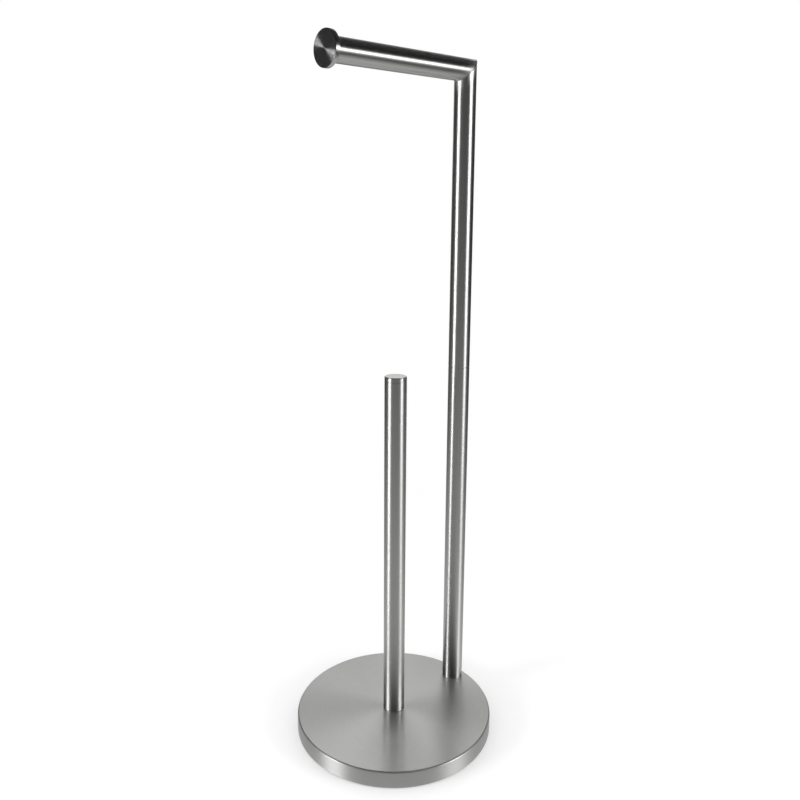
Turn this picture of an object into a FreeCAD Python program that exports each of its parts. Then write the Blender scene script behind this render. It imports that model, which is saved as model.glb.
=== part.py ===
import FreeCAD
import Part

import math
import os

# Free-standing toilet roll holder with a storage post, in brushed stainless steel.
# Millimetres, +Z up. The origin is the centre of the round base, on the floor.
# The tall pole stands at +X, near the rim, and its arm reaches back along -X over the storage post.

# Tube, the same for the pole, the arm and the post
TUBE_DIAMETER = 19.0
TUBE_WALL = 1.2
TUBE_EDGE_BREAK = 0.3

# Layout: the poles' lengths, the post's height above the base and the arm's reach from the pole's axis
BASE_DIAMETER = 176.0
LOWER_POLE_LENGTH = 310.0
UPPER_POLE_LENGTH = 255.0
POST_HEIGHT = 312.0
ARM_REACH = 148.0

# Pressed steel cover of the base, and the flat left between the pole's foot and its rounded edge
COVER_RIM_HEIGHT = 14.5
COVER_SHEET = 1.2
COVER_EDGE_RADIUS = 1.3
COVER_LIP_BREAK = 0.3
POLE_EDGE_LAND = 0.2

# Cast weight inside the cover, and the pad under it
WEIGHT_CLAMPED_THICKNESS = 4.0
WEIGHT_EDGE_CHAMFER = 1.0
PAD_THICKNESS = 2.0
PAD_PROUD = 1.0
PAD_EDGE_BREAK = 0.4

# Turned end caps and the spigots that hold them in the tubes
ARM_CAP_DIAMETER = 27.5
ARM_CAP_THICKNESS = 4.0
ARM_CAP_EDGE_CHAMFER = 0.5
POST_CAP_THICKNESS = 4.0
POST_CAP_EDGE_CHAMFER = 0.6
SPIGOT_LENGTH = 12.0
SPIGOT_CHAMFER = 0.8

# Threaded plugs pressed into the tube ends, and the stud that joins the two lengths of the pole
PLUG_FLOOR = 4.0
PLUG_CHAMFER = 0.8
STUD_DIAMETER = 8.0
STUD_LENGTH = 36.0
STUD_CHAMFER = 0.8

# Bolts and washers that clamp the weight and the cover to the pole and the post
BOLT_DIAMETER = 6.0
BOLT_LENGTH = 22.0
BOLT_TIP_CHAMFER = 0.6
BOLT_HEAD_DIAMETER = 10.0
BOLT_HEAD_HEIGHT = 4.0
BOLT_HEAD_CHAMFER = 0.6
BOLT_SOCKET_ACROSS_FLATS = 4.0
BOLT_SOCKET_DEPTH = 2.3
FLAT_WASHER_DIAMETER = 12.0
FLAT_WASHER_THICKNESS = 1.6
SPRING_WASHER_DIAMETER = 11.0
SPRING_WASHER_THICKNESS = 1.6
SPRING_WASHER_SLOT = 1.2

# Clearances: all are radial or on one side
PRESS_GAP = 0.05
THREAD_GAP = 0.05
BOLT_HOLE_GAP = 0.3
COUNTERBORE_GAP = 0.75
WEIGHT_SIDE_GAP = 0.4
PAD_SIDE_GAP = 1.5
BOLT_TIP_GAP = 4.0
STUD_TIP_GAP = 2.0

# Radii that follow from the sizes above
TUBE_RADIUS = TUBE_DIAMETER / 2
BORE_RADIUS = TUBE_RADIUS - TUBE_WALL
PLUG_RADIUS = BORE_RADIUS - PRESS_GAP
BASE_RADIUS = BASE_DIAMETER / 2
COVER_INNER_RADIUS = BASE_RADIUS - COVER_SHEET
BOLT_RADIUS = BOLT_DIAMETER / 2
BOLT_HOLE_RADIUS = BOLT_RADIUS + BOLT_HOLE_GAP
COUNTERBORE_RADIUS = FLAT_WASHER_DIAMETER / 2 + COUNTERBORE_GAP

# Heights that follow from the sizes above, from the floor up
BASE_TOP = PAD_PROUD + COVER_RIM_HEIGHT
COVER_UNDERSIDE = BASE_TOP - COVER_SHEET
CLAMP_SEAT = COVER_UNDERSIDE - WEIGHT_CLAMPED_THICKNESS
SPRING_WASHER_SEAT = CLAMP_SEAT - FLAT_WASHER_THICKNESS
BOLT_HEAD_SEAT = SPRING_WASHER_SEAT - SPRING_WASHER_THICKNESS
BOLT_TIP = BOLT_HEAD_SEAT + BOLT_LENGTH
POLE_SEAM = BASE_TOP + LOWER_POLE_LENGTH
POST_CAP_SEAT = BASE_TOP + POST_HEIGHT - POST_CAP_THICKNESS
ARM_AXIS = POLE_SEAM + UPPER_POLE_LENGTH

# The two feet, and the arm's cap seat measured along the arm from the pole's axis
UP = FreeCAD.Vector(0, 0, 1)
FULL_TURN = 360
POST_AXIS = FreeCAD.Vector(0, 0, 0)
POLE_AXIS = FreeCAD.Vector(BASE_RADIUS - COVER_EDGE_RADIUS - POLE_EDGE_LAND - TUBE_RADIUS, 0, 0)
ARM_CAP_SEAT = ARM_REACH - ARM_CAP_THICKNESS


def turned(points):
    """A solid of revolution about the Z axis from the (radius, height) corners of its section."""
    corners = [FreeCAD.Vector(radius, 0, height) for radius, height in points]
    section = Part.Face(Part.makePolygon(corners + corners[:1]))
    return section.revolve(FreeCAD.Vector(0, 0, 0), UP, FULL_TURN)


def rim_edges(shape, radius, height):
    """The edges of a turned shape that are circles of one radius at one height."""
    circles = [edge for edge in shape.Edges if isinstance(edge.Curve, Part.Circle)]
    level = [edge for edge in circles if math.isclose(edge.Curve.Center.z, height, abs_tol=1e-6)]
    return [edge for edge in level if math.isclose(edge.Curve.Radius, radius, abs_tol=1e-6)]


def along_arm(shape):
    """The shape with its Z axis laid along the arm, from the pole's axis towards the cap."""
    laid = shape.copy()
    laid.rotate(FreeCAD.Vector(0, 0, 0), FreeCAD.Vector(0, 1, 0), -90)
    return laid.translated(POLE_AXIS + UP * ARM_AXIS)


def holes_for_bolts(radius, bottom, top):
    """Cutters for one hole at each foot, between two heights."""
    cutter = Part.makeCylinder(radius, top - bottom, UP * bottom)
    return [cutter.translated(axis) for axis in (POST_AXIS, POLE_AXIS)]


def base_cover():
    """The pressed cover: a flat top, a rounded edge and a straight rim, open underneath."""
    shell = turned(
        [
            (0, COVER_UNDERSIDE),
            (COVER_INNER_RADIUS, COVER_UNDERSIDE),
            (COVER_INNER_RADIUS, PAD_PROUD),
            (BASE_RADIUS - COVER_LIP_BREAK, PAD_PROUD),
            (BASE_RADIUS, PAD_PROUD + COVER_LIP_BREAK),
            (BASE_RADIUS, BASE_TOP),
            (0, BASE_TOP),
        ]
    )
    shell = shell.makeFillet(COVER_EDGE_RADIUS, rim_edges(shell, BASE_RADIUS, BASE_TOP))
    return shell.cut(holes_for_bolts(BOLT_HOLE_RADIUS, COVER_UNDERSIDE, BASE_TOP))


def base_weight():
    """The cast disc that keeps the stand upright, counterbored from below for the bolts."""
    radius = COVER_INNER_RADIUS - WEIGHT_SIDE_GAP
    disc = turned(
        [
            (0, PAD_THICKNESS),
            (radius - WEIGHT_EDGE_CHAMFER, PAD_THICKNESS),
            (radius, PAD_THICKNESS + WEIGHT_EDGE_CHAMFER),
            (radius, COVER_UNDERSIDE - WEIGHT_EDGE_CHAMFER),
            (radius - WEIGHT_EDGE_CHAMFER, COVER_UNDERSIDE),
            (0, COVER_UNDERSIDE),
        ]
    )
    counterbored = disc.cut(holes_for_bolts(COUNTERBORE_RADIUS, PAD_THICKNESS, CLAMP_SEAT))
    return counterbored.cut(holes_for_bolts(BOLT_HOLE_RADIUS, CLAMP_SEAT, COVER_UNDERSIDE))


def base_pad():
    """The non-slip pad stuck under the weight, with access holes for the bolts."""
    radius = COVER_INNER_RADIUS - PAD_SIDE_GAP
    disc = turned(
        [
            (0, 0),
            (radius - PAD_EDGE_BREAK, 0),
            (radius, PAD_EDGE_BREAK),
            (radius, PAD_THICKNESS),
            (0, PAD_THICKNESS),
        ]
    )
    return disc.cut(holes_for_bolts(COUNTERBORE_RADIUS, 0, PAD_THICKNESS))


def bolt(axis):
    """A low head bolt with a hexagon socket, its head below and its tip up in the foot plug."""
    head_radius = BOLT_HEAD_DIAMETER / 2
    head_bottom = BOLT_HEAD_SEAT - BOLT_HEAD_HEIGHT
    body = turned(
        [
            (0, head_bottom),
            (head_radius - BOLT_HEAD_CHAMFER, head_bottom),
            (head_radius, head_bottom + BOLT_HEAD_CHAMFER),
            (head_radius, BOLT_HEAD_SEAT),
            (BOLT_RADIUS, BOLT_HEAD_SEAT),
            (BOLT_RADIUS, BOLT_TIP - BOLT_TIP_CHAMFER),
            (BOLT_RADIUS - BOLT_TIP_CHAMFER, BOLT_TIP),
            (0, BOLT_TIP),
        ]
    )
    corner_radius = BOLT_SOCKET_ACROSS_FLATS / math.sqrt(3)
    turns = [math.radians(60 * step) for step in range(7)]
    corners = [FreeCAD.Vector(math.cos(turn), math.sin(turn), 0) * corner_radius for turn in turns]
    hexagon = Part.Face(Part.makePolygon([corner + UP * head_bottom for corner in corners]))
    return body.cut(hexagon.extrude(UP * BOLT_SOCKET_DEPTH)).translated(axis)


def washer(diameter, bottom, top):
    """A plain ring round the bolt, between two heights."""
    outer = diameter / 2
    return turned([(BOLT_HOLE_RADIUS, bottom), (outer, bottom), (outer, top), (BOLT_HOLE_RADIUS, top)])


def flat_washer(axis):
    """The washer against the clamping seat of the weight."""
    return washer(FLAT_WASHER_DIAMETER, SPRING_WASHER_SEAT, CLAMP_SEAT).translated(axis)


def spring_washer(axis):
    """The split lock washer, pressed flat under the bolt head."""
    ring = washer(SPRING_WASHER_DIAMETER, BOLT_HEAD_SEAT, SPRING_WASHER_SEAT)
    slot_corner = FreeCAD.Vector(0, -SPRING_WASHER_SLOT / 2, BOLT_HEAD_SEAT)
    slot = Part.makeBox(SPRING_WASHER_DIAMETER, SPRING_WASHER_SLOT, SPRING_WASHER_THICKNESS, slot_corner)
    return ring.cut(slot).translated(axis)


def threaded_plug(thread_diameter, bore_depth):
    """A steel plug for a tube end, its mouth at height zero and its blind threaded hole going up."""
    thread_radius = thread_diameter / 2 + THREAD_GAP
    length = bore_depth + PLUG_FLOOR
    return turned(
        [
            (thread_radius, 0),
            (PLUG_RADIUS, 0),
            (PLUG_RADIUS, length - PLUG_CHAMFER),
            (PLUG_RADIUS - PLUG_CHAMFER, length),
            (0, length),
            (0, bore_depth),
            (thread_radius, bore_depth),
        ]
    )


def foot_plug(axis):
    """The plug in the foot of a tube, threaded for its bolt."""
    plug = threaded_plug(BOLT_DIAMETER, BOLT_TIP - BASE_TOP + BOLT_TIP_GAP)
    return plug.translated(axis + UP * BASE_TOP)


def joint_plug():
    """The plug at the seam of the pole, threaded for half of the stud, its mouth at height zero."""
    return threaded_plug(STUD_DIAMETER, STUD_LENGTH / 2 + STUD_TIP_GAP)


def lower_pole_joint_plug():
    """The plug in the top of the lower pole, its mouth up and flush with the seam."""
    plug = joint_plug().mirror(FreeCAD.Vector(0, 0, 0), UP)
    return plug.translated(POLE_AXIS + UP * POLE_SEAM)


def upper_pole_joint_plug():
    """The plug in the foot of the upper pole, its mouth down and flush with the seam."""
    return joint_plug().translated(POLE_AXIS + UP * POLE_SEAM)


def pole_joint_stud():
    """The threaded stud that screws the two lengths of the pole together, centred on the seam."""
    radius = STUD_DIAMETER / 2
    half = STUD_LENGTH / 2
    stud = turned(
        [
            (0, -half),
            (radius - STUD_CHAMFER, -half),
            (radius, -half + STUD_CHAMFER),
            (radius, half - STUD_CHAMFER),
            (radius - STUD_CHAMFER, half),
            (0, half),
        ]
    )
    return stud.translated(POLE_AXIS + UP * POLE_SEAM)


def tube(bottom, top):
    """A length of tube on the Z axis, with its outer edge broken at both ends."""
    return turned(
        [
            (BORE_RADIUS, bottom),
            (TUBE_RADIUS - TUBE_EDGE_BREAK, bottom),
            (TUBE_RADIUS, bottom + TUBE_EDGE_BREAK),
            (TUBE_RADIUS, top - TUBE_EDGE_BREAK),
            (TUBE_RADIUS - TUBE_EDGE_BREAK, top),
            (BORE_RADIUS, top),
        ]
    )


def mitre_wedge(beyond):
    """What the mitre saw takes off: the wedge on one side of the 45 degree plane through the corner."""
    reach = 2 * TUBE_DIAMETER
    corners = [
        FreeCAD.Vector(-reach, -reach, -reach),
        FreeCAD.Vector(reach, -reach, reach),
        FreeCAD.Vector(beyond.x * reach, -reach, beyond.z * reach),
    ]
    wedge = Part.Face(Part.makePolygon(corners + corners[:1])).extrude(FreeCAD.Vector(0, 2 * reach, 0))
    return wedge.translated(POLE_AXIS + UP * ARM_AXIS)


def lower_pole_tube():
    """The lower length of the tall pole, from the base to the screwed seam."""
    return tube(BASE_TOP, POLE_SEAM).translated(POLE_AXIS)


def upper_pole_tube():
    """The upper length of the tall pole, mitred at the top to meet the arm."""
    uncut = tube(POLE_SEAM, ARM_AXIS + TUBE_DIAMETER).translated(POLE_AXIS)
    return uncut.cut(mitre_wedge(FreeCAD.Vector(-1, 0, 1)))


def arm_tube():
    """The arm that carries the roll in use, mitred to the pole at one end and capped at the other."""
    uncut = along_arm(tube(-TUBE_DIAMETER, ARM_CAP_SEAT))
    return uncut.cut(mitre_wedge(FreeCAD.Vector(1, 0, -1)))


def post_tube():
    """The storage post that holds the spare rolls, standing at the centre of the base."""
    return tube(BASE_TOP, POST_CAP_SEAT).translated(POST_AXIS)


def spigot_corners(seat):
    """The section of a cap's spigot, from its end on the axis round to the cap's seat on the tube."""
    end = seat - SPIGOT_LENGTH
    return [
        (0, end),
        (PLUG_RADIUS - SPIGOT_CHAMFER, end),
        (PLUG_RADIUS, end + SPIGOT_CHAMFER),
        (PLUG_RADIUS, seat),
    ]


def arm_end_cap():
    """The turned disc that keeps the roll on the arm, held by its spigot in the arm's end."""
    radius = ARM_CAP_DIAMETER / 2
    disc = [
        (radius - ARM_CAP_EDGE_CHAMFER, ARM_CAP_SEAT),
        (radius, ARM_CAP_SEAT + ARM_CAP_EDGE_CHAMFER),
        (radius, ARM_REACH - ARM_CAP_EDGE_CHAMFER),
        (radius - ARM_CAP_EDGE_CHAMFER, ARM_REACH),
        (0, ARM_REACH),
    ]
    return along_arm(turned(spigot_corners(ARM_CAP_SEAT) + disc))


def post_top_cap():
    """The turned cap that closes the storage post, flush with the tube."""
    top = POST_CAP_SEAT + POST_CAP_THICKNESS
    disc = [
        (TUBE_RADIUS - TUBE_EDGE_BREAK, POST_CAP_SEAT),
        (TUBE_RADIUS, POST_CAP_SEAT + TUBE_EDGE_BREAK),
        (TUBE_RADIUS, top - POST_CAP_EDGE_CHAMFER),
        (TUBE_RADIUS - POST_CAP_EDGE_CHAMFER, top),
        (0, top),
    ]
    return turned(spigot_corners(POST_CAP_SEAT) + disc).translated(POST_AXIS)


pieces = {
    "base_cover": base_cover(),
    "base_weight": base_weight(),
    "base_pad": base_pad(),
    "lower_pole_tube": lower_pole_tube(),
    "lower_pole_joint_plug": lower_pole_joint_plug(),
    "pole_joint_stud": pole_joint_stud(),
    "upper_pole_joint_plug": upper_pole_joint_plug(),
    "upper_pole_tube": upper_pole_tube(),
    "arm_tube": arm_tube(),
    "arm_end_cap": arm_end_cap(),
    "post_tube": post_tube(),
    "post_top_cap": post_top_cap(),
}
for foot, foot_axis in (("pole", POLE_AXIS), ("post", POST_AXIS)):
    pieces[foot + "_foot_plug"] = foot_plug(foot_axis)
    pieces[foot + "_bolt"] = bolt(foot_axis)
    pieces[foot + "_flat_washer"] = flat_washer(foot_axis)
    pieces[foot + "_spring_washer"] = spring_washer(foot_axis)

os.makedirs("parts", exist_ok=True)
for node, shape in pieces.items():
    shape.exportStep("parts/" + node + ".step")
    state = "valid" if shape.isValid() else "not valid"
    print(f"{node}: {state}, {len(shape.Solids)} solid, {shape.Volume:.0f} mm3")
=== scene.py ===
"""Dresses the free-standing toilet roll holder in brushed steel and lights it in a small studio.

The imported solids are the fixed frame. The steel that shows is modelled again with finer turns, rolled
edges and a ground weld. The plugs, fasteners, weight and pad keep their solids and get their finishes.
"""

import logging
import math
from abc import ABC, abstractmethod
from collections.abc import Callable, Sequence
from dataclasses import dataclass, replace
from enum import Enum, IntEnum

import bpy
from mathutils import Matrix, Vector


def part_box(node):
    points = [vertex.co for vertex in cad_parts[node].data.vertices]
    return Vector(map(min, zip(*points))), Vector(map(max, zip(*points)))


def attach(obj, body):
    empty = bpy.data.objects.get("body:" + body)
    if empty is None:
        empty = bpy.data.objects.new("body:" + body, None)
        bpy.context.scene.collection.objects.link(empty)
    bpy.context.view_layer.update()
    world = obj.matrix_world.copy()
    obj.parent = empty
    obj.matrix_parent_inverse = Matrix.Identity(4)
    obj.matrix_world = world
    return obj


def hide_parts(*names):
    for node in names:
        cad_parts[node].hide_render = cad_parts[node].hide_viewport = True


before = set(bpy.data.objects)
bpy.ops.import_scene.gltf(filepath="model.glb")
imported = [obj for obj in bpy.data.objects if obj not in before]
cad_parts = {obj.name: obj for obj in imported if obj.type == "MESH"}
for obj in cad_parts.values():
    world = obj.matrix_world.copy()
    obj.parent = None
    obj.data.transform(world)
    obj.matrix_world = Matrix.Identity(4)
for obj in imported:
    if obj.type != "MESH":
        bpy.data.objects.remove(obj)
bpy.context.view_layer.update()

MM = 0.001
BODY = "root"
LOG = logging.getLogger("roll_holder")

Colour = tuple[float, float, float]
Point = tuple[float, float, float]
Span = tuple[float, float]
Outline = Sequence[Span]
Sockets = dict[str | int, object]

ORIGIN: Point = (0.0, 0.0, 0.0)
WHITE = (1.0, 1.0, 1.0, 1.0)
# Noises run from 0 to 1.
NOISE_MIDDLE = 0.5
# Anisotropic Rotation counts in turns.
QUARTER_TURN = 0.25
# The mitre where the pole meets the arm, and the two ways across it.
MITRE = math.pi / 4
POLE_TO_ARM: Point = (-1.0, 0.0, 1.0)
ARM_TO_POLE: Point = (1.0, 0.0, -1.0)
# The watts of an area lamp of one square metre that looks as bright as white.
LAMP_WATTS = 4.0
# How far beside a rounding the next point lies, as a share of its radius.
ROUNDING_MARGIN = 0.2


class Slot(Enum):
    """The record's material slots named with the new pieces; nothing assigns them."""

    TUBE = "brushed_steel_tube"
    COVER = "satin_steel_cover"
    CAP = "turned_steel_cap"


class Lie(Enum):
    """The way a round piece lies: upright, or along the arm with its foot at the arm's free end."""

    UPRIGHT = (0.0, 0.0, 0.0)
    ALONG_ARM = (0.0, math.pi / 2, 0.0)


class Detail(Enum):
    """How finely a noise is broken up."""

    SOFT = 2.0
    FINE = 3.0
    BUSY = 4.0
    SANDY = 5.0


class Fade(Enum):
    """How a value goes from one end of its span to the other."""

    EVEN = "LINEAR"
    SOFT = "SMOOTHSTEP"


class DiscZone(IntEnum):
    """The zones of the arm's disc, by the number of their finish."""

    FACE = 0
    GROOVE = 1
    RIM = 2


class Field:
    """A value that a material works out at each point, with Python's operators for its Math nodes."""

    def __init__(self, recipe: "Recipe", socket: bpy.types.NodeSocket) -> None:
        """Wrap one output socket of a recipe."""
        self.recipe = recipe
        self.socket = socket

    def _math(self, operation: str, first: "Value", second: "Value") -> "Field":
        """Add one Math node and return its result."""
        return self.recipe.node("ShaderNodeMath", {"operation": operation}, {0: first, 1: second})

    def __add__(self, other: "Value") -> "Field":
        """Return this value plus another."""
        return self._math("ADD", self, other)

    def __radd__(self, other: float) -> "Field":
        """Return a number plus this value."""
        return self._math("ADD", other, self)

    def __sub__(self, other: "Value") -> "Field":
        """Return this value less another."""
        return self._math("SUBTRACT", self, other)

    def __rsub__(self, other: float) -> "Field":
        """Return a number less this value."""
        return self._math("SUBTRACT", other, self)

    def __mul__(self, other: "Value") -> "Field":
        """Return this value times another."""
        return self._math("MULTIPLY", self, other)

    def __rmul__(self, other: float) -> "Field":
        """Return a number times this value."""
        return self._math("MULTIPLY", other, self)


Value = float | Field


class Recipe:
    """The nodes of one material or of the world."""

    def __init__(self, tree: bpy.types.NodeTree) -> None:
        """Empty a node tree and hold it."""
        self.tree = tree
        tree.nodes.clear()

    def node(self, kind: str, settings: dict[str, object] | None = None, inputs: Sockets | None = None,
             output: str | int = 0) -> Field:
        """Add any node.

        Args:
            kind: The node's type.
            settings: Its properties.
            inputs: Values or fields for its sockets, by name or number.
            output: The socket that is returned.

        Returns:
            The chosen output.
        """
        made = self.tree.nodes.new(kind)
        for key, value in (settings or {}).items():
            setattr(made, key, value)
        for key, value in (inputs or {}).items():
            if isinstance(value, Field):
                self.tree.links.new(value.socket, made.inputs[key])
            else:
                made.inputs[key].default_value = value
        return Field(self, made.outputs[output])

    def vector(self, operation: str, inputs: Sockets, output: str | int = 0) -> Field:
        """Add a Vector Math node and return one of its outputs."""
        return self.node("ShaderNodeVectorMath", {"operation": operation}, inputs, output)

    def place(self, centre: Point = ORIGIN, turn: Point = ORIGIN, size: Point = (1, 1, 1)) -> Field:
        """Return object coordinates seen from a pattern.

        Args:
            centre: The pattern's middle, in metres.
            turn: How the pattern is turned, in radians.
            size: The length of the pattern's unit along each of its axes, in metres.

        Returns:
            The point in the pattern's own units.
        """
        spot = self.node("ShaderNodeTexCoord", output="Object")
        inputs = {"Vector": spot, "Location": centre, "Rotation": turn, "Scale": size}
        return self.node("ShaderNodeMapping", {"vector_type": "TEXTURE"}, inputs)

    def noise(self, spot: Field, detail: Detail = Detail.SOFT, roughness: float = 0.5) -> Field:
        """Return noise from 0 to 1 whose lumps are about one unit across."""
        inputs = {"Vector": spot, "Scale": 1.0, "Detail": detail.value, "Roughness": roughness}
        return self.node("ShaderNodeTexNoise", {"noise_dimensions": "3D"}, inputs)

    def lumps(self, size: Point, detail: Detail = Detail.SOFT, roughness: float = 0.5) -> Field:
        """Return noise from 0 to 1 in lumps of a size along each axis, in metres."""
        return self.noise(self.place(size=size), detail, roughness)

    def rings(self, centre: Point, lie: Lie, pitch: float, breaks: float) -> Field:
        """Return noise in fine rings round an axis, as a lathe or a brush leaves them.

        Args:
            centre: A point on the axis.
            lie: The way the axis lies.
            pitch: The width of a ring, in metres.
            breaks: How often a ring fades and comes back on its way round.

        Returns:
            Noise from 0 to 1.
        """
        flat = self.vector("MULTIPLY", {0: self.place(centre, lie.value), 1: (1, 1, 0)})
        radius = self.vector("LENGTH", {0: flat}, "Value")
        heading = self.vector("NORMALIZE", {0: flat})
        wander = self.vector("SCALE", {0: heading, "Scale": breaks})
        count = self.node("ShaderNodeCombineXYZ", inputs={"Z": radius * (1 / pitch)})
        return self.noise(self.vector("ADD", {0: wander, 1: count}))

    def ramp(self, value: Field, source: Span, target: Span = (0.0, 1.0), fade: Fade = Fade.SOFT) -> Field:
        """Return a value carried over from one span, at whose ends it is held, to another."""
        ends = dict(zip(("From Min", "From Max", "To Min", "To Max"), (*source, *target)))
        return self.node("ShaderNodeMapRange", {"interpolation_type": fade.value}, {"Value": value, **ends})

    @staticmethod
    def share(first: Field, second: Field, part: float) -> Field:
        """Return a mixture of two noises, with the first one's part from 0 to 1."""
        return first * part + second * (1 - part)

    @staticmethod
    def vary(base: float, *swings: tuple[Field, float]) -> Field:
        """Return a value that swings about its base with noises, each given with its reach."""
        return sum(((noise - NOISE_MIDDLE) * reach for noise, reach in swings), base)

    def bump(self, height: Field, depth: float) -> Field:
        """Return a normal roughened by a height from 0 to 1 that stands for a depth in metres."""
        return self.node("ShaderNodeBump", inputs={"Height": height, "Distance": depth, "Strength": 1.0})

    def blend(self, factor: Value, first: Colour, second: Colour) -> Field:
        """Return a colour between two, by a factor from 0 to 1."""
        inputs = {0: factor, 6: (*first, 1.0), 7: (*second, 1.0)}
        return self.node("ShaderNodeMix", {"data_type": "RGBA"}, inputs, 2)

    def metal(self, wear: Field, dull: Colour, bright: Colour, relief: Field, depth: float) -> Sockets:
        """Return a metal's colour, from dull to bright by its wear, and its relief of a depth in metres."""
        colour = self.blend(wear, dull, bright)
        return {"Base Color": colour, "Metallic": 1.0, "Normal": self.bump(relief, depth)}

    def principled(self, inputs: Sockets) -> Field:
        """Add a Principled shader and return it."""
        return self.node("ShaderNodeBsdfPrincipled", inputs=inputs)

    def either(self, factor: Value, first: Field, second: Field) -> Field:
        """Return a mixture of two shaders, by a factor from 0 to 1."""
        return self.node("ShaderNodeMixShader", inputs={0: factor, 1: first, 2: second})

    def finish(self, shader: Field, output: str = "ShaderNodeOutputMaterial") -> None:
        """Link a shader to the output node."""
        target = self.tree.nodes.new(output)
        self.tree.links.new(shader.socket, target.inputs["Surface"])


def even(value: float) -> Point:
    """Return one value three times, for a size or a grey."""
    return (value, value, value)


class Finish(ABC):
    """A surface finish, which makes its material the first time that it is asked for."""

    name: str

    def material(self) -> bpy.types.Material:
        """Make the finish's material, or find it again.

        Returns:
            The material.
        """
        found = bpy.data.materials.get(self.name)
        if found is None:
            found = bpy.data.materials.new(self.name)
            found.use_nodes = True
            self.mix(Recipe(found.node_tree))
        return found

    @abstractmethod
    def mix(self, recipe: Recipe) -> None:
        """Lay out the finish's nodes."""


@dataclass(frozen=True)
class BrushedTube(Finish):
    """Stainless tube brushed round and round, so that lights draw out into stripes along it.

    Beside a welded corner, where there is one, the brushing is ground away.
    """

    name: str
    lie: Lie
    bright: Colour = (0.63, 0.63, 0.62)
    dull: Colour = (0.57, 0.57, 0.56)
    roughness: float = 0.40
    drawn_out: float = 0.93
    pitch: float = 0.25 * MM
    streak: float = 15 * MM
    scratch: float = 0.0004 * MM
    cloud: Point = (40 * MM, 40 * MM, 60 * MM)
    brushing_part: float = 0.7
    brushing_swing: float = 0.05
    cloud_swing: float = 0.04
    corner: Point | None = None
    ground_reach: float = 8 * MM
    ground_roughness: float = 0.38
    ground_swing: float = 0.08

    def mix(self, recipe: Recipe) -> None:
        """Lay out the brushing, soft clouds, fine scratches and the ground corner.

        Args:
            recipe: The material's nodes.
        """
        upright = self.lie is Lie.UPRIGHT
        size = (self.streak, self.streak, self.pitch) if upright else (self.pitch, self.streak, self.streak)
        brushing = recipe.lumps(size, Detail.FINE)
        clouds = recipe.lumps(self.cloud, Detail.FINE)
        wear = recipe.share(brushing, clouds, self.brushing_part)
        steel = recipe.metal(wear, self.dull, self.bright, brushing, self.scratch)
        swings = ((brushing, self.brushing_swing), (clouds, self.cloud_swing))
        shader = recipe.principled({
            **steel,
            "Roughness": recipe.vary(self.roughness, *swings),
            "Anisotropic": self.drawn_out,
            "Anisotropic Rotation": QUARTER_TURN if upright else 0.0,
        })
        if self.corner is not None:
            sheen = recipe.vary(self.ground_roughness, (clouds, self.ground_swing))
            ground = recipe.principled({**steel, "Roughness": sheen})
            shader = recipe.either(self.beside_weld(recipe), shader, ground)
        recipe.finish(shader)

    def beside_weld(self, recipe: Recipe) -> Field:
        """Work out how near a point lies to the mitre of the welded corner.

        Args:
            recipe: The material's nodes.

        Returns:
            1 on the mitre, fading to 0 where the grinding ends.
        """
        spot = recipe.place(self.corner, (0, -MITRE, 0))
        across = recipe.node("ShaderNodeSeparateXYZ", inputs={0: spot}, output="Z")
        away = recipe.node("ShaderNodeMath", {"operation": "ABSOLUTE"}, {0: across})
        return recipe.ramp(away, (0.0, self.ground_reach), (1.0, 0.0))


@dataclass(frozen=True)
class CoverTop(Finish):
    """The top of the base, brushed in circles: a broad satin and a narrower sheen that share it."""

    name: str = "cover_top_satin"
    bright: Colour = (0.61, 0.61, 0.60)
    dull: Colour = (0.52, 0.52, 0.51)
    roughness: float = 0.45
    drawn_out: float = 0.75
    sheen_roughness: float = 0.24
    sheen_drawn_out: float = 0.8
    sheen_share: float = 0.3
    sheen_swing: float = 0.2
    pitch: float = 0.5 * MM
    breaks: float = 6.0
    scratch: float = 0.0006 * MM
    cloud: float = 60 * MM
    grain_part: float = 0.6
    grain_swing: float = 0.08
    cloud_swing: float = 0.06

    def mix(self, recipe: Recipe) -> None:
        """Lay out the circular grain and soft clouds.

        Args:
            recipe: The material's nodes.
        """
        grain = recipe.rings(ORIGIN, Lie.UPRIGHT, self.pitch, self.breaks)
        clouds = recipe.lumps(even(self.cloud), Detail.FINE)
        wear = recipe.share(grain, clouds, self.grain_part)
        steel = recipe.metal(wear, self.dull, self.bright, grain, self.scratch)
        swings = ((grain, self.grain_swing), (clouds, self.cloud_swing))
        satin = recipe.principled({
            **steel,
            "Roughness": recipe.vary(self.roughness, *swings),
            "Anisotropic": self.drawn_out,
        })
        sheen = recipe.principled({
            **steel,
            "Roughness": recipe.vary(self.sheen_roughness, *swings),
            "Anisotropic": self.sheen_drawn_out,
            "Anisotropic Rotation": QUARTER_TURN,
        })
        share = recipe.vary(self.sheen_share, (grain, self.sheen_swing))
        recipe.finish(recipe.either(share, satin, sheen))


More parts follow.
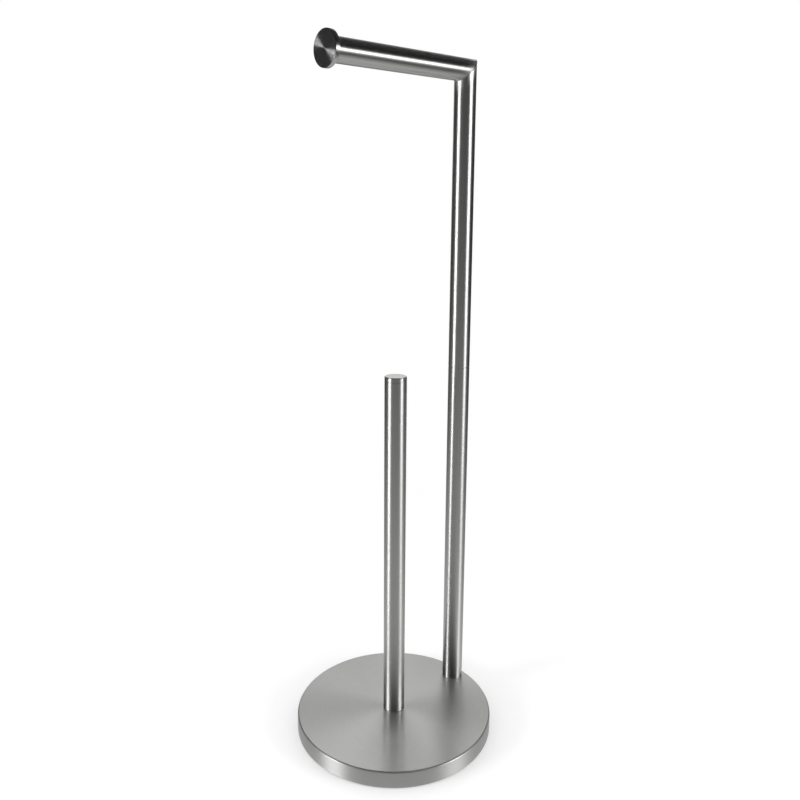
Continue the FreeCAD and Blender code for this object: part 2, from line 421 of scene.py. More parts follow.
@dataclass(frozen=True)
class TurnedFace(Finish):
    """The face of a turned cap, with the fine rings that the tool left."""

    name: str
    lie: Lie
    centre: Point = ORIGIN
    bright: Colour = (0.62, 0.62, 0.61)
    dull: Colour = (0.54, 0.54, 0.53)
    roughness: float = 0.18
    pitch: float = 0.12 * MM
    breaks: float = 0.5
    groove: float = 0.004 * MM
    cloud: float = 8 * MM
    marks_part: float = 0.7
    marks_swing: float = 0.10
    cloud_swing: float = 0.05

    def mix(self, recipe: Recipe) -> None:
        """Lay out the rings and a little wear.

        Args:
            recipe: The material's nodes.
        """
        marks = recipe.rings(self.centre, self.lie, self.pitch, self.breaks)
        clouds = recipe.lumps(even(self.cloud))
        wear = recipe.share(marks, clouds, self.marks_part)
        swings = ((marks, self.marks_swing), (clouds, self.cloud_swing))
        steel = recipe.metal(wear, self.dull, self.bright, marks, self.groove)
        recipe.finish(recipe.principled({**steel, "Roughness": recipe.vary(self.roughness, *swings)}))


@dataclass(frozen=True)
class PlainMetal(Finish):
    """A bare or plated metal with the marks of turning along its axis and a mottled sheen."""

    name: str
    bright: Colour
    dull: Colour
    roughness: float
    pitch: float
    depth: float
    streak: float = 6 * MM
    mottle: float = 3 * MM
    swing: float = 0.12

    def mix(self, recipe: Recipe) -> None:
        """Lay out the turning marks and the mottle.

        Args:
            recipe: The material's nodes.
        """
        marks = recipe.lumps((self.streak, self.streak, self.pitch), Detail.FINE)
        mottle = recipe.lumps(even(self.mottle), Detail.BUSY)
        swings = ((marks, self.swing), (mottle, self.swing))
        metal = recipe.metal(mottle, self.dull, self.bright, marks, self.depth)
        recipe.finish(recipe.principled({**metal, "Roughness": recipe.vary(self.roughness, *swings)}))


@dataclass(frozen=True)
class BlackCasting(Finish):
    """Rough cast iron under thin black paint."""

    name: str = "black_casting"
    paint: Colour = (0.045, 0.045, 0.047)
    rubbed: Colour = (0.10, 0.095, 0.09)
    rubbing: float = 1.6
    sand: float = 0.8 * MM
    sand_depth: float = 0.12 * MM
    sand_roughness: float = 0.6
    patch: float = 9 * MM
    roughness: float = 0.65
    patch_swing: float = 0.3

    def mix(self, recipe: Recipe) -> None:
        """Lay out the sandy skin and the paint's uneven sheen.

        Args:
            recipe: The material's nodes.
        """
        sand = recipe.lumps(even(self.sand), Detail.SANDY, self.sand_roughness)
        patches = recipe.lumps(even(self.patch), Detail.FINE)
        recipe.finish(recipe.principled({
            "Base Color": recipe.blend(sand * patches * self.rubbing, self.paint, self.rubbed),
            "Roughness": recipe.vary(self.roughness, (patches, self.patch_swing)),
            "Normal": recipe.bump(sand, self.sand_depth),
        }))


@dataclass(frozen=True)
class FoamRubber(Finish):
    """The matt closed-cell skin of the non-slip pad."""

    name: str = "foam_rubber"
    dark: Colour = (0.022, 0.022, 0.023)
    dusty: Colour = (0.06, 0.06, 0.058)
    cell: float = 0.7 * MM
    cell_depth: float = 0.15 * MM
    cell_part: float = 0.3
    dust: float = 14 * MM
    dust_part: float = 0.5
    roughness: float = 0.82
    dust_swing: float = 0.2

    def mix(self, recipe: Recipe) -> None:
        """Lay out the cells and a little dust.

        Args:
            recipe: The material's nodes.
        """
        skin = {"Vector": recipe.place(size=even(self.cell)), "Scale": 1.0}
        cells = recipe.node("ShaderNodeTexVoronoi", {"feature": "F1"}, skin, "Distance")
        dust = recipe.lumps(even(self.dust), Detail.BUSY)
        grey = dust * self.dust_part + cells * self.cell_part
        recipe.finish(recipe.principled({
            "Base Color": recipe.blend(grey, self.dark, self.dusty),
            "Roughness": recipe.vary(self.roughness, (dust, self.dust_swing)),
            "Normal": recipe.bump(cells, self.cell_depth),
        }))


class Bench:
    """Modelling moves, each made with Blender's operators on one piece at a time."""

    SMOOTH_ANGLE = math.radians(30)
    MERGE_DISTANCE = 0.001 * MM
    GRAIN_MIDDLE = (0.0, -1.0, 0.0)
    GRAIN_SIZE = (1000.0, 1.0, 1.0)

    @staticmethod
    def clear() -> None:
        """Leave edit mode and deselect everything."""
        if bpy.context.mode != "OBJECT":
            bpy.ops.object.mode_set(mode="OBJECT")
        bpy.ops.object.select_all(action="DESELECT")

    @staticmethod
    def hold(piece: bpy.types.Object) -> None:
        """Select one piece alone.

        Args:
            piece: The piece, which becomes the active one.
        """
        Bench.clear()
        bpy.context.view_layer.objects.active = piece
        piece.select_set(True)

    @staticmethod
    def edit(piece: bpy.types.Object) -> None:
        """Open one piece alone in edit mode, with all its edges selected.

        Args:
            piece: The piece.
        """
        Bench.hold(piece)
        bpy.ops.object.mode_set(mode="EDIT")
        bpy.ops.mesh.select_mode(type="EDGE")
        bpy.ops.mesh.select_all(action="SELECT")

    @staticmethod
    def face_outwards() -> None:
        """Turn all faces of the piece in edit mode outwards and leave edit mode."""
        bpy.ops.mesh.select_all(action="SELECT")
        bpy.ops.mesh.normals_make_consistent(inside=False)
        bpy.ops.object.mode_set(mode="OBJECT")

    @staticmethod
    def turned(name: str, outline: Outline, segments: int, closed: bool) -> bpy.types.Object:
        """Turn an outline about Z by drawing a ring up and down it.

        Args:
            name: The piece's name.
            outline: Radius and height of each corner, in metres.
            segments: How many sides the round has.
            closed: Whether the outline comes back to its start. If not, its two ends are filled.

        Returns:
            The new piece.
        """
        Bench.clear()
        radius, height = outline[0]
        bpy.ops.mesh.primitive_circle_add(vertices=segments, radius=radius, location=(0, 0, height))
        piece = bpy.context.object
        piece.name = name
        piece.data.name = name
        Bench.edit(piece)
        corners = list(outline[1:]) + ([outline[0]] if closed else [])
        for next_radius, next_height in corners:
            rise = (0, 0, next_height - height)
            bpy.ops.mesh.extrude_edges_move(TRANSFORM_OT_translate={"value": rise})
            grow = next_radius / radius
            bpy.ops.transform.resize(value=(grow, grow, 1), center_override=(0, 0, next_height))
            radius, height = next_radius, next_height
        bpy.ops.mesh.select_all(action="SELECT")
        bpy.ops.mesh.remove_doubles(threshold=Bench.MERGE_DISTANCE)
        if not closed:
            bpy.ops.mesh.fill_holes(sides=0)
        Bench.face_outwards()
        return piece

    @staticmethod
    def settle(piece: bpy.types.Object, lie: Lie, foot: Point) -> None:
        """Turn a piece, set its foot in place and put the move into its mesh.

        Args:
            piece: A piece that stands on the origin.
            lie: The way it is to lie.
            foot: Where the middle of its foot goes.
        """
        Bench.hold(piece)
        piece.location = Vector(foot) + Matrix.Rotation(lie.value[1], 3, "Y") @ piece.location
        piece.rotation_euler = lie.value
        bpy.ops.object.transform_apply(location=True, rotation=True, scale=True)

    @staticmethod
    def lay_grain(piece: bpy.types.Object) -> None:
        """Lay a piece's texture space far aside, so that the shader's grain runs along the arm on it.

        Args:
            piece: A piece that lies along the arm.
        """
        piece.data.use_auto_texspace = False
        piece.data.texspace_location = Bench.GRAIN_MIDDLE
        piece.data.texspace_size = Bench.GRAIN_SIZE

    @staticmethod
    def cut(piece: bpy.types.Object, point: Point, away: Point) -> None:
        """Cut a hollow piece through and close its wall.

        Args:
            piece: The piece.
            point: A point on the cut.
            away: The direction, square to the cut, of the side that is dropped.
        """
        Bench.edit(piece)
        bpy.ops.mesh.bisect(plane_co=point, plane_no=away, clear_outer=True)
        bpy.ops.mesh.bridge_edge_loops()
        Bench.face_outwards()

    @staticmethod
    def smooth(piece: bpy.types.Object, angle: float = SMOOTH_ANGLE) -> None:
        """Shade a piece smooth, except at edges sharper than an angle."""
        Bench.hold(piece)
        bpy.ops.object.shade_smooth_by_angle(angle=angle)

    @staticmethod
    def dress(piece: bpy.types.Object, finishes: Sequence[Finish],
              choose: Callable[[bpy.types.MeshPolygon], int] | None = None) -> None:
        """Give a piece its finishes.

        Args:
            piece: A new piece.
            finishes: Its finishes.
            choose: Returns the number of a face's finish. Without it, all faces get the first.
        """
        for finish in finishes:
            piece.data.materials.append(finish.material())
        if choose is not None:
            for face in piece.data.polygons:
                face.material_index = choose(face)


def fit(piece: bpy.types.Object, slot: Slot, *nodes: str) -> None:
    """Fix a piece to the body and let it stand for CAD nodes.

    Args:
        piece: A new piece.
        slot: The material slot that it takes; not used.
        nodes: The CAD nodes that it replaces, if any.
    """
    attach(piece, BODY)
    if nodes:
        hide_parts(*nodes)
    LOG.info("%s: %d faces, for %s", piece.name, len(piece.data.polygons), ", ".join(nodes) or "no node")


def coat(finish: Finish, *nodes: str) -> None:
    """Give CAD nodes that stay their finish.

    Args:
        finish: The finish.
        nodes: The CAD nodes.
    """
    for node in nodes:
        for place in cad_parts[node].material_slots:
            place.material = finish.material()
        LOG.info("%s: %s", node, finish.name)


def middle(node: str) -> Point:
    """Return the middle of a CAD node's box."""
    low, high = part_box(node)
    return ((low.x + high.x) / 2, (low.y + high.y) / 2, (low.z + high.z) / 2)


def quarter_round(radius: float, height: float, size: float, steps: int) -> list[Span]:
    """Return the points of a rounded top edge, with a point beside each end that keeps the flats flat.

    Args:
        radius: The outside radius that the edge starts from.
        height: The height of the flat that it ends on.
        size: The radius of the rounding.
        steps: How many flats stand for the rounding.

    Returns:
        Radius and height of each point, from the side to the top.
    """
    margin = size * ROUNDING_MARGIN
    angles = [math.pi / 2 * step / steps for step in range(steps + 1)]
    arc = [(radius - size + size * math.cos(a), height - size + size * math.sin(a)) for a in angles]
    return [(radius, height - size - margin), *arc, (radius - size - margin, height)]


@dataclass(frozen=True)
class SteelTube:
    """A hollow tube with broken edges, standing where its CAD node stands."""

    node: str
    name: str
    wall: float = 1.2 * MM
    edge_break: float = 0.3 * MM
    segments: int = 160

    def build(self) -> bpy.types.Object:
        """Model the tube upright, in its place.

        Returns:
            The new piece.
        """
        low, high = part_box(self.node)
        x, y, _ = middle(self.node)
        piece = self.stock((high.x - low.x) / 2, high.z - low.z)
        Bench.settle(piece, Lie.UPRIGHT, (x, y, low.z))
        return piece

    def stock(self, radius: float, length: float) -> bpy.types.Object:
        """Model a length of tube that stands on the origin.

        Args:
            radius: The outside radius.
            length: The length from end to end.

        Returns:
            The new piece.
        """
        bore = radius - self.wall
        edge = self.edge_break
        outline = [
            (bore, 0.0),
            (radius - edge, 0.0),
            (radius, edge),
            (radius, length - edge),
            (radius - edge, length),
            (bore, length),
        ]
        return Bench.turned(self.name, outline, self.segments, closed=True)


@dataclass
class RoundBase:
    """The weighted base: a pressed cover with two bolt holes, over the weight and the pad."""

    sheet: float = 1.2 * MM
    edge_radius: float = 1.3 * MM
    lip_break: float = 0.3 * MM
    bolt_hole: float = 3.3 * MM
    drill_length: float = 4.8 * MM
    segments: int = 256
    edge_steps: int = 8
    hole_segments: int = 48
    top_finish: Finish = CoverTop()
    # The rim is the top's steel painted darker: a painted shade on the side of the cover.
    rim_painted_shade_finish: Finish = BrushedTube(
        "cover_rim_brushing_painted_shade", Lie.UPRIGHT, bright=(0.52, 0.52, 0.51), dull=(0.46, 0.46, 0.45),
        roughness=0.45)

    def build(self) -> None:
        """Model the cover and dress the whole base."""
        low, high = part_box("base_cover")
        cover = self.cover(high.x, low.z, high.z)
        Bench.settle(cover, Lie.UPRIGHT, ORIGIN)
        self.drill(cover, (middle("lower_pole_tube")[0], 0.0, high.z))
        Bench.smooth(cover)
        level = high.z - self.edge_radius / 2
        Bench.dress(cover, [self.top_finish, self.rim_painted_shade_finish], lambda face: int(face.center.z < level))
        fit(cover, Slot.COVER, "base_cover")
        coat(BlackCasting(), "base_weight")
        coat(FoamRubber(), "base_pad")

    def cover(self, radius: float, foot: float, top: float) -> bpy.types.Object:
        """Model the pressed cover.

        Args:
            radius: The outside radius of the rim.
            foot: The height of the rim's lower edge.
            top: The height of the flat top.

        Returns:
            The new piece, with the post's bolt hole in its middle.
        """
        inside = radius - self.sheet
        under = top - self.sheet
        outline = [
            (inside, foot),
            (radius - self.lip_break, foot),
            (radius, foot + self.lip_break),
            *quarter_round(radius, top, self.edge_radius, self.edge_steps),
            (self.bolt_hole, top),
            (self.bolt_hole, under),
            (inside, under),
        ]
        return Bench.turned("cover", outline, self.segments, closed=True)

    def drill(self, cover: bpy.types.Object, point: Point) -> None:
        """Drill the pole's bolt hole through the cover.

        Args:
            cover: The cover.
            point: The middle of the hole, on the flat top.
        """
        Bench.clear()
        bpy.ops.mesh.primitive_cylinder_add(
            vertices=self.hole_segments, radius=self.bolt_hole, depth=self.drill_length, location=point)
        drill = bpy.context.object
        Bench.hold(cover)
        hole = cover.modifiers.new("hole", "BOOLEAN")
        hole.operation = "DIFFERENCE"
        hole.solver = "EXACT"
        hole.object = drill
        bpy.ops.object.modifier_apply(modifier=hole.name)
        bpy.data.objects.remove(drill, do_unlink=True)


@dataclass
class TallPole:
    """The tall pole, screwed together from two lengths."""

    lower: SteelTube = SteelTube("lower_pole_tube", "lower_pole")
    upper: SteelTube = SteelTube("upper_pole_tube", "upper_pole")
    finish: BrushedTube = BrushedTube("tube_brushing_upright", Lie.UPRIGHT)
    spare: float = 10 * MM

    def build(self, corner: Point) -> None:
        """Model both lengths, the upper one cut on the mitre.

        Args:
            corner: Where the axes of pole and arm meet.
        """
        lower = self.lower.build()
        low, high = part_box(self.upper.node)
        upper = self.upper.stock((high.x - low.x) / 2, high.z - low.z + self.spare)
        Bench.settle(upper, Lie.UPRIGHT, (corner[0], corner[1], low.z))
        Bench.cut(upper, corner, POLE_TO_ARM)
        welded = replace(self.finish, name="pole_brushing_welded", corner=corner)
        for piece, tube, finish in ((lower, self.lower, self.finish), (upper, self.upper, welded)):
            Bench.smooth(piece)
            Bench.dress(piece, [finish])
            fit(piece, Slot.TUBE, tube.node)


@dataclass
class RollArm:
    """The arm for the roll in use: a mitred tube, its ground weld and the turned disc on its end."""

    tube: SteelTube = SteelTube("arm_tube", "arm")
    tube_finish: BrushedTube = BrushedTube("tube_brushing_arm", Lie.ALONG_ARM)
    face_finish: TurnedFace = TurnedFace("arm_disc_turning", Lie.ALONG_ARM)
    # The groove walls and the edge's rounding are the face's steel painted near black: a painted shade that
    # dims the streak they mirror.
    groove_painted_shade_finish: TurnedFace = TurnedFace(
        "arm_disc_groove_painted_shade", Lie.ALONG_ARM, bright=even(0.175), dull=even(0.15))
    weld_finish: Finish = PlainMetal(
        "ground_weld", bright=(0.66, 0.66, 0.65), dull=(0.56, 0.56, 0.55), roughness=0.24,
        pitch=0.3 * MM, depth=0.01 * MM)
    disc_edge: float = 0.5 * MM
    disc_edge_steps: int = 12
    disc_thickness: float = 4.0 * MM
    groove_pitch: float = 0.5 * MM
    groove_width: float = 0.10 * MM
    groove_slope: float = math.radians(20)
    rim_slope: float = math.radians(60)
    spigot_chamfer: float = 0.8 * MM
    press_gap: float = 0.05 * MM
    weld_size: float = 0.3 * MM
    weld_sunk: float = 0.15 * MM
    weld_segments: int = 12
    segments: int = 160
    spare: float = 10 * MM

    def axis_point(self) -> Point:
        """Return the point where the axes of the arm and the pole meet."""
        _, y, z = middle(self.tube.node)
        return (middle("upper_pole_tube")[0], y, z)

    def build(self) -> None:
        """Model the arm, its weld and its disc."""
        corner = self.axis_point()
        low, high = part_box(self.tube.node)
        radius = (high.z - low.z) / 2
        arm = self.tube.stock(radius, high.x - low.x + self.spare)
        Bench.settle(arm, Lie.ALONG_ARM, (low.x, corner[1], corner[2]))
        Bench.cut(arm, corner, ARM_TO_POLE)
        Bench.smooth(arm)
        Bench.lay_grain(arm)
        Bench.dress(arm, [replace(self.tube_finish, name="arm_brushing_welded", corner=corner)])
        fit(arm, Slot.TUBE, self.tube.node)
        self.weld(corner, radius)
        self.disc(corner, radius)

    def weld(self, corner: Point, radius: float) -> None:
        """Model the thin bead, ground almost flush, that runs round the mitre.

        Args:
            corner: Where the axes of pole and arm meet.
            radius: The outside radius of the tubes.
        """
        Bench.clear()
        bpy.ops.mesh.primitive_torus_add(
            major_segments=self.segments, minor_segments=self.weld_segments,
            major_radius=radius - self.weld_sunk, minor_radius=self.weld_size)
        bead = bpy.context.object
        bead.name = "mitre_weld"
        Bench.edit(bead)
        bpy.ops.transform.resize(value=(1 / math.cos(MITRE), 1, 1), center_override=ORIGIN)
        bpy.ops.object.mode_set(mode="OBJECT")
        bead.rotation_euler = (0, -MITRE, 0)
        bead.location = corner
        bpy.ops.object.transform_apply(location=True, rotation=True, scale=True)
        Bench.smooth(bead)
        Bench.dress(bead, [self.weld_finish])
        fit(bead, Slot.TUBE)

    def disc(self, corner: Point, radius: float) -> None:
        """Model the turned disc with the spigot that holds it in the tube.

        Args:
            corner: Where the axes of pole and arm meet.
            radius: The outside radius of the tube.
        """
        low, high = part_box("arm_end_cap")
        rim = (high.z - low.z) / 2
        spigot = radius - self.tube.wall - self.press_gap
        length = high.x - low.x
        edge = quarter_round(rim, 0.0, self.disc_edge, self.disc_edge_steps)
        back = [(r, self.disc_thickness + z) for r, z in edge]
        front = [(r, -z) for r, z in reversed(edge)]
        outline = [
            *self.turning(front[0][0]),
            *front,
            *back,
            (spigot, self.disc_thickness),
            (spigot, length - self.spigot_chamfer),
            (spigot - self.spigot_chamfer, length),
        ]
        disc = Bench.turned("arm_disc", outline, self.segments, closed=False)
        foot = (low.x, corner[1], corner[2])
        Bench.settle(disc, Lie.ALONG_ARM, foot)
        Bench.smooth(disc, self.groove_slope / 2)
        Bench.lay_grain(disc)
        # The groove zone takes the painted shade.
        face, groove = (replace(finish, centre=foot) for finish in (self.face_finish, self.groove_painted_shade_finish))
        Bench.dress(disc, [face, groove, self.tube_finish], self.disc_zone)
        fit(disc, Slot.CAP, "arm_end_cap")

    def disc_zone(self, side: bpy.types.MeshPolygon) -> DiscZone:
        """Tell the disc's zones apart by their slope.

        Args:
            side: One of the disc's faces.

        Returns:
            The zone that it belongs to.
        """
        slope = math.acos(min(abs(side.normal.x), 1.0))
        if slope > self.rim_slope:
            return DiscZone.RIM
        return DiscZone.GROOVE if slope > self.groove_slope / 2 else DiscZone.FACE

    def turning(self, reach: float) -> list[Span]:
        """Return the fine grooves that the lathe left across the disc's face.

        Args:
            reach: The radius that the grooves end at.

        Returns:
            Radius and height of each point, from the middle outwards.
        """
        half = self.groove_width / 2
        depth = half * math.tan(self.groove_slope)
        middles = [self.groove_pitch * (number + 0.5) for number in range(int(reach / self.groove_pitch))]
        return [point for r in middles for point in ((r - half, 0.0), (r, depth), (r + half, 0.0))]


@dataclass
class StoragePost:
    """The post for spare rolls: a tube and the turned cap in its top."""

    tube: SteelTube = SteelTube("post_tube", "post")
    finish: Finish = BrushedTube("tube_brushing_upright", Lie.UPRIGHT)
    face_finish: TurnedFace = TurnedFace("post_cap_turning", Lie.UPRIGHT)
    top_chamfer: float = 0.6 * MM
    under_break: float = 0.3 * MM
    thickness: float = 4.0 * MM
    spigot_chamfer: float = 0.8 * MM
    press_gap: float = 0.05 * MM

    def build(self) -> None:
        """Model the tube and its cap."""
        post = self.tube.build()
        Bench.smooth(post)
        Bench.dress(post, [self.finish])
        fit(post, Slot.TUBE, self.tube.node)
        self.cap()

    def cap(self) -> None:
        """Model the cap with the spigot that holds it in the tube."""
        low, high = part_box("post_top_cap")
        rim = (high.x - low.x) / 2
        top = high.z - low.z
        seat = top - self.thickness
        spigot = rim - self.tube.wall - self.press_gap
        outline = [
            (rim - self.top_chamfer, top),
            (rim, top - self.top_chamfer),
            (rim, seat + self.under_break),
            (rim - self.under_break, seat),
            (spigot, seat),
            (spigot, self.spigot_chamfer),
            (spigot - self.spigot_chamfer, 0.0),
        ]
        cap = Bench.turned("post_cap", outline, self.tube.segments, closed=False)
        x, y, _ = middle("post_top_cap")
        Bench.settle(cap, Lie.UPRIGHT, (x, y, low.z))
        Bench.smooth(cap)
        face = replace(self.face_finish, centre=(x, y, high.z))
        level = high.z - self.top_chamfer / 4
        Bench.dress(cap, [face, self.finish], lambda side: int(side.center.z < level))
        fit(cap, Slot.CAP, "post_top_cap")


@dataclass
class InnerPieces:
    """The plugs and fasteners, which keep their solids."""

    plug: Finish = PlainMetal(
        "machined_plug", bright=even(0.52), dull=even(0.42), roughness=0.35,
        pitch=0.4 * MM, depth=0.02 * MM)
    plating: Finish = PlainMetal(
        "bright_plating", bright=(0.70, 0.71, 0.73), dull=(0.58, 0.59, 0.60), roughness=0.28,
        pitch=0.8 * MM, depth=0.005 * MM)

    def dress(self) -> None:
        """Give the machined plugs and the plated fasteners their finishes."""
        for place in ("pole_foot", "post_foot", "lower_pole_joint", "upper_pole_joint"):
            coat(self.plug, f"{place}_plug")
        coat(self.plating, "pole_joint_stud")
        for place in ("pole", "post"):
            coat(self.plating, f"{place}_bolt", f"{place}_flat_washer", f"{place}_spring_washer")


@dataclass(frozen=True)
class PhotoCamera:
    """The camera as it stood, fitted to the outlines of the stand: in metres, degrees and pixels."""

    distance: float = 657.9 * MM
    aside: float = 3.5 * MM
    height: float = 476.2 * MM
    yaw: float = 42.245
    pitch: float = -11.797
    roll: float = 0.404
    focal_pixels: float = 798.9
    centre_row: float = 363.0
    image_side: float = 800.0
    sensor: float = 36.0

    def build(self) -> None:
        """Set the camera up and make it the scene's camera."""
        yaw, pitch, roll = (math.radians(a) for a in (self.yaw, self.pitch, self.roll))
        level_right = Vector((math.cos(yaw), -math.sin(yaw), 0.0))
        ahead = Vector((math.sin(yaw) * math.cos(pitch), math.cos(yaw) * math.cos(pitch), math.sin(pitch)))
        level_up = level_right.cross(ahead)
        right = math.cos(roll) * level_right + math.sin(roll) * level_up
        up = math.cos(roll) * level_up - math.sin(roll) * level_right
        data = bpy.data.cameras.new("photo_camera")
        data.sensor_width = self.sensor
        data.lens = self.focal_pixels / self.image_side * self.sensor
        data.shift_y = (self.centre_row - self.image_side / 2) / self.image_side
        camera = bpy.data.objects.new("photo_camera", data)
        bpy.context.scene.collection.objects.link(camera)
        turn = Matrix((right, up, -ahead)).transposed().to_4x4()
        spot = self.bearing(0.0) * self.distance + level_right * self.aside
        camera.matrix_world = Matrix.Translation((spot.x, spot.y, self.height)) @ turn
        bpy.context.scene.camera = camera

    def bearing(self, degrees: float) -> Vector:
        """Return the level direction so many degrees to the camera's right, seen from the stand."""
        angle = math.radians(degrees - self.yaw)
        return Vector((math.sin(angle), -math.cos(angle), 0.0))


def only_reflected(card: bpy.types.Object, grey: float, edge: float | None = None,
                   reach: float = 1.0) -> None:
    """Make a card glow for reflections alone.

    Args:
        card: A card that is already in place.
        grey: How bright it is, at least in its middle.
        edge: How bright it is at its reach, where it fades.
        reach: How far from its middle it fades, in metres.
    """
    material = bpy.data.materials.new(card.name)
    material.use_nodes = True
    material.cycles.emission_sampling = "NONE"
    recipe = Recipe(material.node_tree)
    glow = {"Strength": grey}
    if edge is not None:
        away = recipe.vector("LENGTH", {0: recipe.place()}, "Value")
        glow = {"Color": recipe.ramp(away, (0.0, reach), (grey, edge), Fade.EVEN), "Strength": 1.0}
    recipe.finish(recipe.node("ShaderNodeEmission", inputs=glow))
    card.data.materials.append(material)
    for ray in ("camera", "diffuse", "shadow", "transmission"):
        setattr(card, f"visible_{ray}", False)


@dataclass(frozen=True)
class Panel(ABC):
    """A flat upright thing beside the stand: bearing and span in degrees, lengths in metres."""

    name: str
    bearing: float
    span: float
    distance: float
    bottom: float
    top: float
    brightness: float

    def size(self) -> Span:
        """Return the panel's width and height."""
        return 2 * self.distance * math.tan(math.radians(self.span) / 2), self.top - self.bottom

    def face_stand(self, panel: bpy.types.Object, camera: PhotoCamera) -> None:
        """Put an object in the panel's place, facing the stand level.

        Args:
            panel: The lamp or the card.
            camera: The camera, from which bearings are counted.
        """
        ahead = camera.bearing(self.bearing)
        panel.location = ahead * self.distance + Vector((0, 0, (self.bottom + self.top) / 2))
        panel.rotation_euler = (-ahead).to_track_quat("-Z", "Y").to_euler()

    @abstractmethod
    def hang(self, camera: PhotoCamera) -> None:
        """Set the panel up."""


class Softbox(Panel):
    """A soft lamp."""

    def hang(self, camera: PhotoCamera) -> None:
        """Set the lamp up.

        Args:
            camera: The camera, from which bearings are counted.
        """
        data = bpy.data.lights.new(self.name, "AREA")
        data.shape = "RECTANGLE"
        data.size, data.size_y = self.size()
        data.energy = LAMP_WATTS * data.size * data.size_y * self.brightness
        lamp = bpy.data.objects.new(self.name, data)
        bpy.context.scene.collection.objects.link(lamp)
        self.face_stand(lamp, camera)
        lamp.visible_camera = False


class Flag(Panel):
    """A grey card that only reflections see."""

    def hang(self, camera: PhotoCamera) -> None:
        """Set the card up.

        Args:
            camera: The camera, from which bearings are counted.
        """
        Bench.clear()
        bpy.ops.mesh.primitive_plane_add(size=1.0)
        card = bpy.context.object
        card.name = self.name
        card.scale = (*self.size(), 1.0)
        self.face_stand(card, camera)
        only_reflected(card, self.brightness)


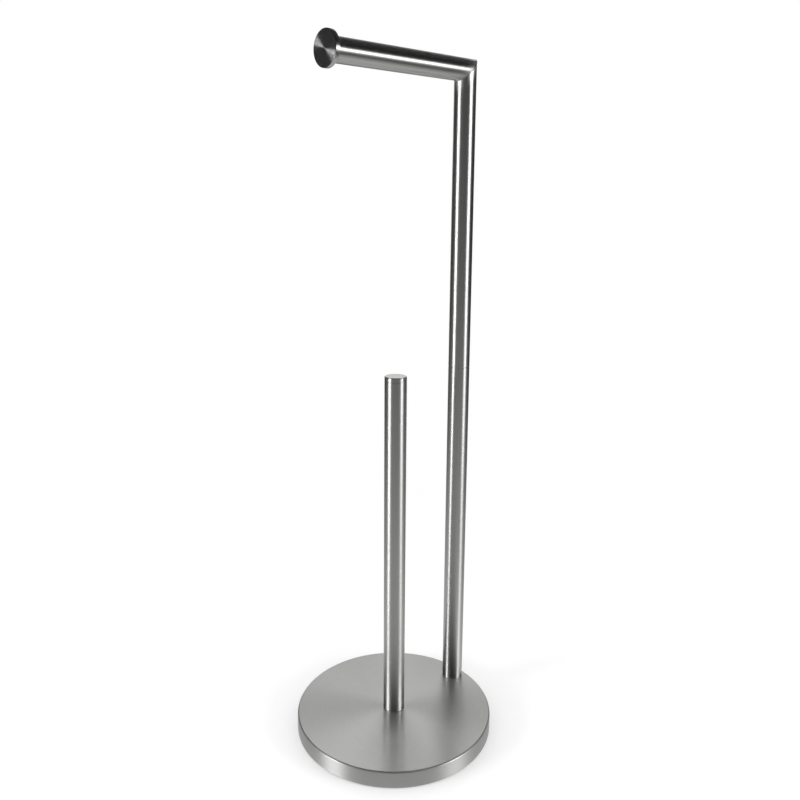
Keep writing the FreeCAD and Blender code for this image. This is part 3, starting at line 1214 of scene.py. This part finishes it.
@dataclass
class Studio:
    """A white room with two softboxes, and grey cards round them for the steel to mirror."""

    camera: PhotoCamera
    panels: Sequence[Panel] = (
        Softbox("left_softbox", -64, 20, 1.3, 0.34, 0.60, 13.0),
        Softbox("right_softbox", 68, 23, 1.4, 0.41, 0.76, 8.0),
        Flag("front_flag_left", -26, 52, 1.5, 0.0, 0.5, 0.05),
        Flag("front_flag_right", 27, 54, 1.5, 0.0, 0.5, 0.05),
        Flag("front_flag_left_high", -26, 52, 1.5, 0.5, 1.8, 0.02),
        Flag("front_flag_right_high", 27, 54, 1.5, 0.5, 1.8, 0.02),
        Flag("left_halo", -64, 40, 1.45, 0.26, 0.70, 1.0),
        Flag("right_halo", 68, 38, 1.45, 0.32, 0.92, 1.3),
        Flag("left_low_card", -64, 20, 1.47, 0.02, 0.26, 5.5),
        Flag("right_low_card", 68, 22, 1.47, 0.02, 0.32, 1.0),
        Flag("back_card", 180, 50, 1.49, 1.2, 1.8, 1.6),
        Flag("left_flag_low", -64, 24, 1.5, 0.0, 0.32, 0.06),
        Flag("left_flag_high", -64, 24, 1.5, 0.62, 1.8, 0.03),
        Flag("right_flag_low", 68, 28, 1.5, 0.0, 0.44, 0.06),
        Flag("right_flag_high", 68, 28, 1.5, 0.84, 1.8, 0.02),
        Flag("side_flag_right", 100, 36, 1.5, 0.0, 1.8, 0.03),
        Flag("back_flag_right", 136, 36, 1.5, 0.0, 1.8, 0.03),
        Flag("back_flag_low", 180, 52, 1.5, 0.0, 0.6, 0.05),
        Flag("back_flag_left", -136, 36, 1.5, 0.0, 1.8, 0.05),
        Flag("side_flag_left", -97, 42, 1.5, 0.0, 1.8, 0.03),
    )
    room_glow: float = 0.88
    floor_side: float = 8.0
    floor_white: float = 0.8
    floor_lift: float = 0.2
    shadow_reach: Span = (0.25, 0.8)
    ground_greys: Span = (1.0, 0.03)
    ground_rise: float = 0.5 * MM
    ground_fade: float = 1.0
    ground_radius: float = 1.7
    ground_sides: int = 96
    ceiling_height: float = 1.8
    ceiling_side: float = 3.0
    ceiling_forward: float = 0.15
    ceiling_grey: float = 0.02

    def build(self) -> None:
        """Light the room."""
        bpy.context.scene.view_settings.view_transform = "Standard"
        self.room()
        self.floor()
        for panel in self.panels:
            panel.hang(self.camera)
        self.ground_card()
        self.ceiling()

    @staticmethod
    def seen(recipe: Recipe) -> Field:
        """Return 1 for what is looked at, also in a mirror or through glass, and 0 for other light."""
        rays = ("Is Camera Ray", "Is Glossy Ray", "Is Transmission Ray")
        return sum((recipe.node("ShaderNodeLightPath", output=ray) for ray in rays), 0.0)

    @staticmethod
    def glow(recipe: Recipe, kind: str, strengths: Span) -> Field:
        """Return a white glow with two strengths, the first as a light and the second to look at."""
        layers = [recipe.node(kind, inputs={"Color": WHITE, "Strength": value}) for value in strengths]
        return recipe.either(Studio.seen(recipe), *layers)

    def room(self) -> None:
        """Make the room white to look at and less bright as a light."""
        world = bpy.data.worlds.new("white_room")
        world.use_nodes = True
        bpy.context.scene.world = world
        recipe = Recipe(world.node_tree)
        walls = Studio.glow(recipe, "ShaderNodeBackground", (self.room_glow, 1.0))
        recipe.finish(walls, "ShaderNodeOutputWorld")

    def floor(self) -> None:
        """Lay the pale floor, which keeps the stand's shadow and runs out into white."""
        Bench.clear()
        bpy.ops.mesh.primitive_plane_add(size=self.floor_side)
        floor = bpy.context.object
        floor.name = "floor"
        material = bpy.data.materials.new("pale_floor")
        material.use_nodes = True
        recipe = Recipe(material.node_tree)
        away = recipe.ramp(recipe.vector("LENGTH", {0: recipe.place()}, "Value"), self.shadow_reach)
        paint = recipe.node("ShaderNodeBsdfDiffuse", inputs={"Color": (*even(self.floor_white), 1.0)})
        lift = Studio.glow(recipe, "ShaderNodeEmission", (0.0, self.floor_lift))
        plain = recipe.node("ShaderNodeAddShader", inputs={0: paint, 1: lift})
        sweep = Studio.glow(recipe, "ShaderNodeEmission", (self.room_glow, 1.0))
        recipe.finish(recipe.either(away, plain, sweep))
        floor.data.materials.append(material)

    def ground_card(self) -> None:
        """Lay a grey card round the base, which only reflections see."""
        Bench.clear()
        bpy.ops.mesh.primitive_circle_add(
            vertices=self.ground_sides, radius=self.ground_radius, fill_type="NGON",
            location=(0, 0, self.ground_rise))
        card = bpy.context.object
        card.name = "ground_card"
        only_reflected(card, *self.ground_greys, self.ground_fade)

    def ceiling(self) -> None:
        """Hang a dark card over the stand, towards the camera, which only reflections see."""
        Bench.clear()
        spot = self.camera.bearing(0.0) * self.ceiling_forward + Vector((0, 0, self.ceiling_height))
        bpy.ops.mesh.primitive_plane_add(size=self.ceiling_side, location=spot)
        card = bpy.context.object
        card.name = "ceiling_card"
        only_reflected(card, self.ceiling_grey)


def main() -> None:
    """Build the stand from the floor up, then the camera and the light."""
    logging.basicConfig(level=logging.INFO, format="%(name)s %(message)s")
    arm = RollArm()
    RoundBase().build()
    TallPole().build(arm.axis_point())
    arm.build()
    StoragePost().build()
    InnerPieces().dress()
    camera = PhotoCamera()
    camera.build()
    Studio(camera).build()
    Bench.clear()


if __name__ == "__main__":
    main()
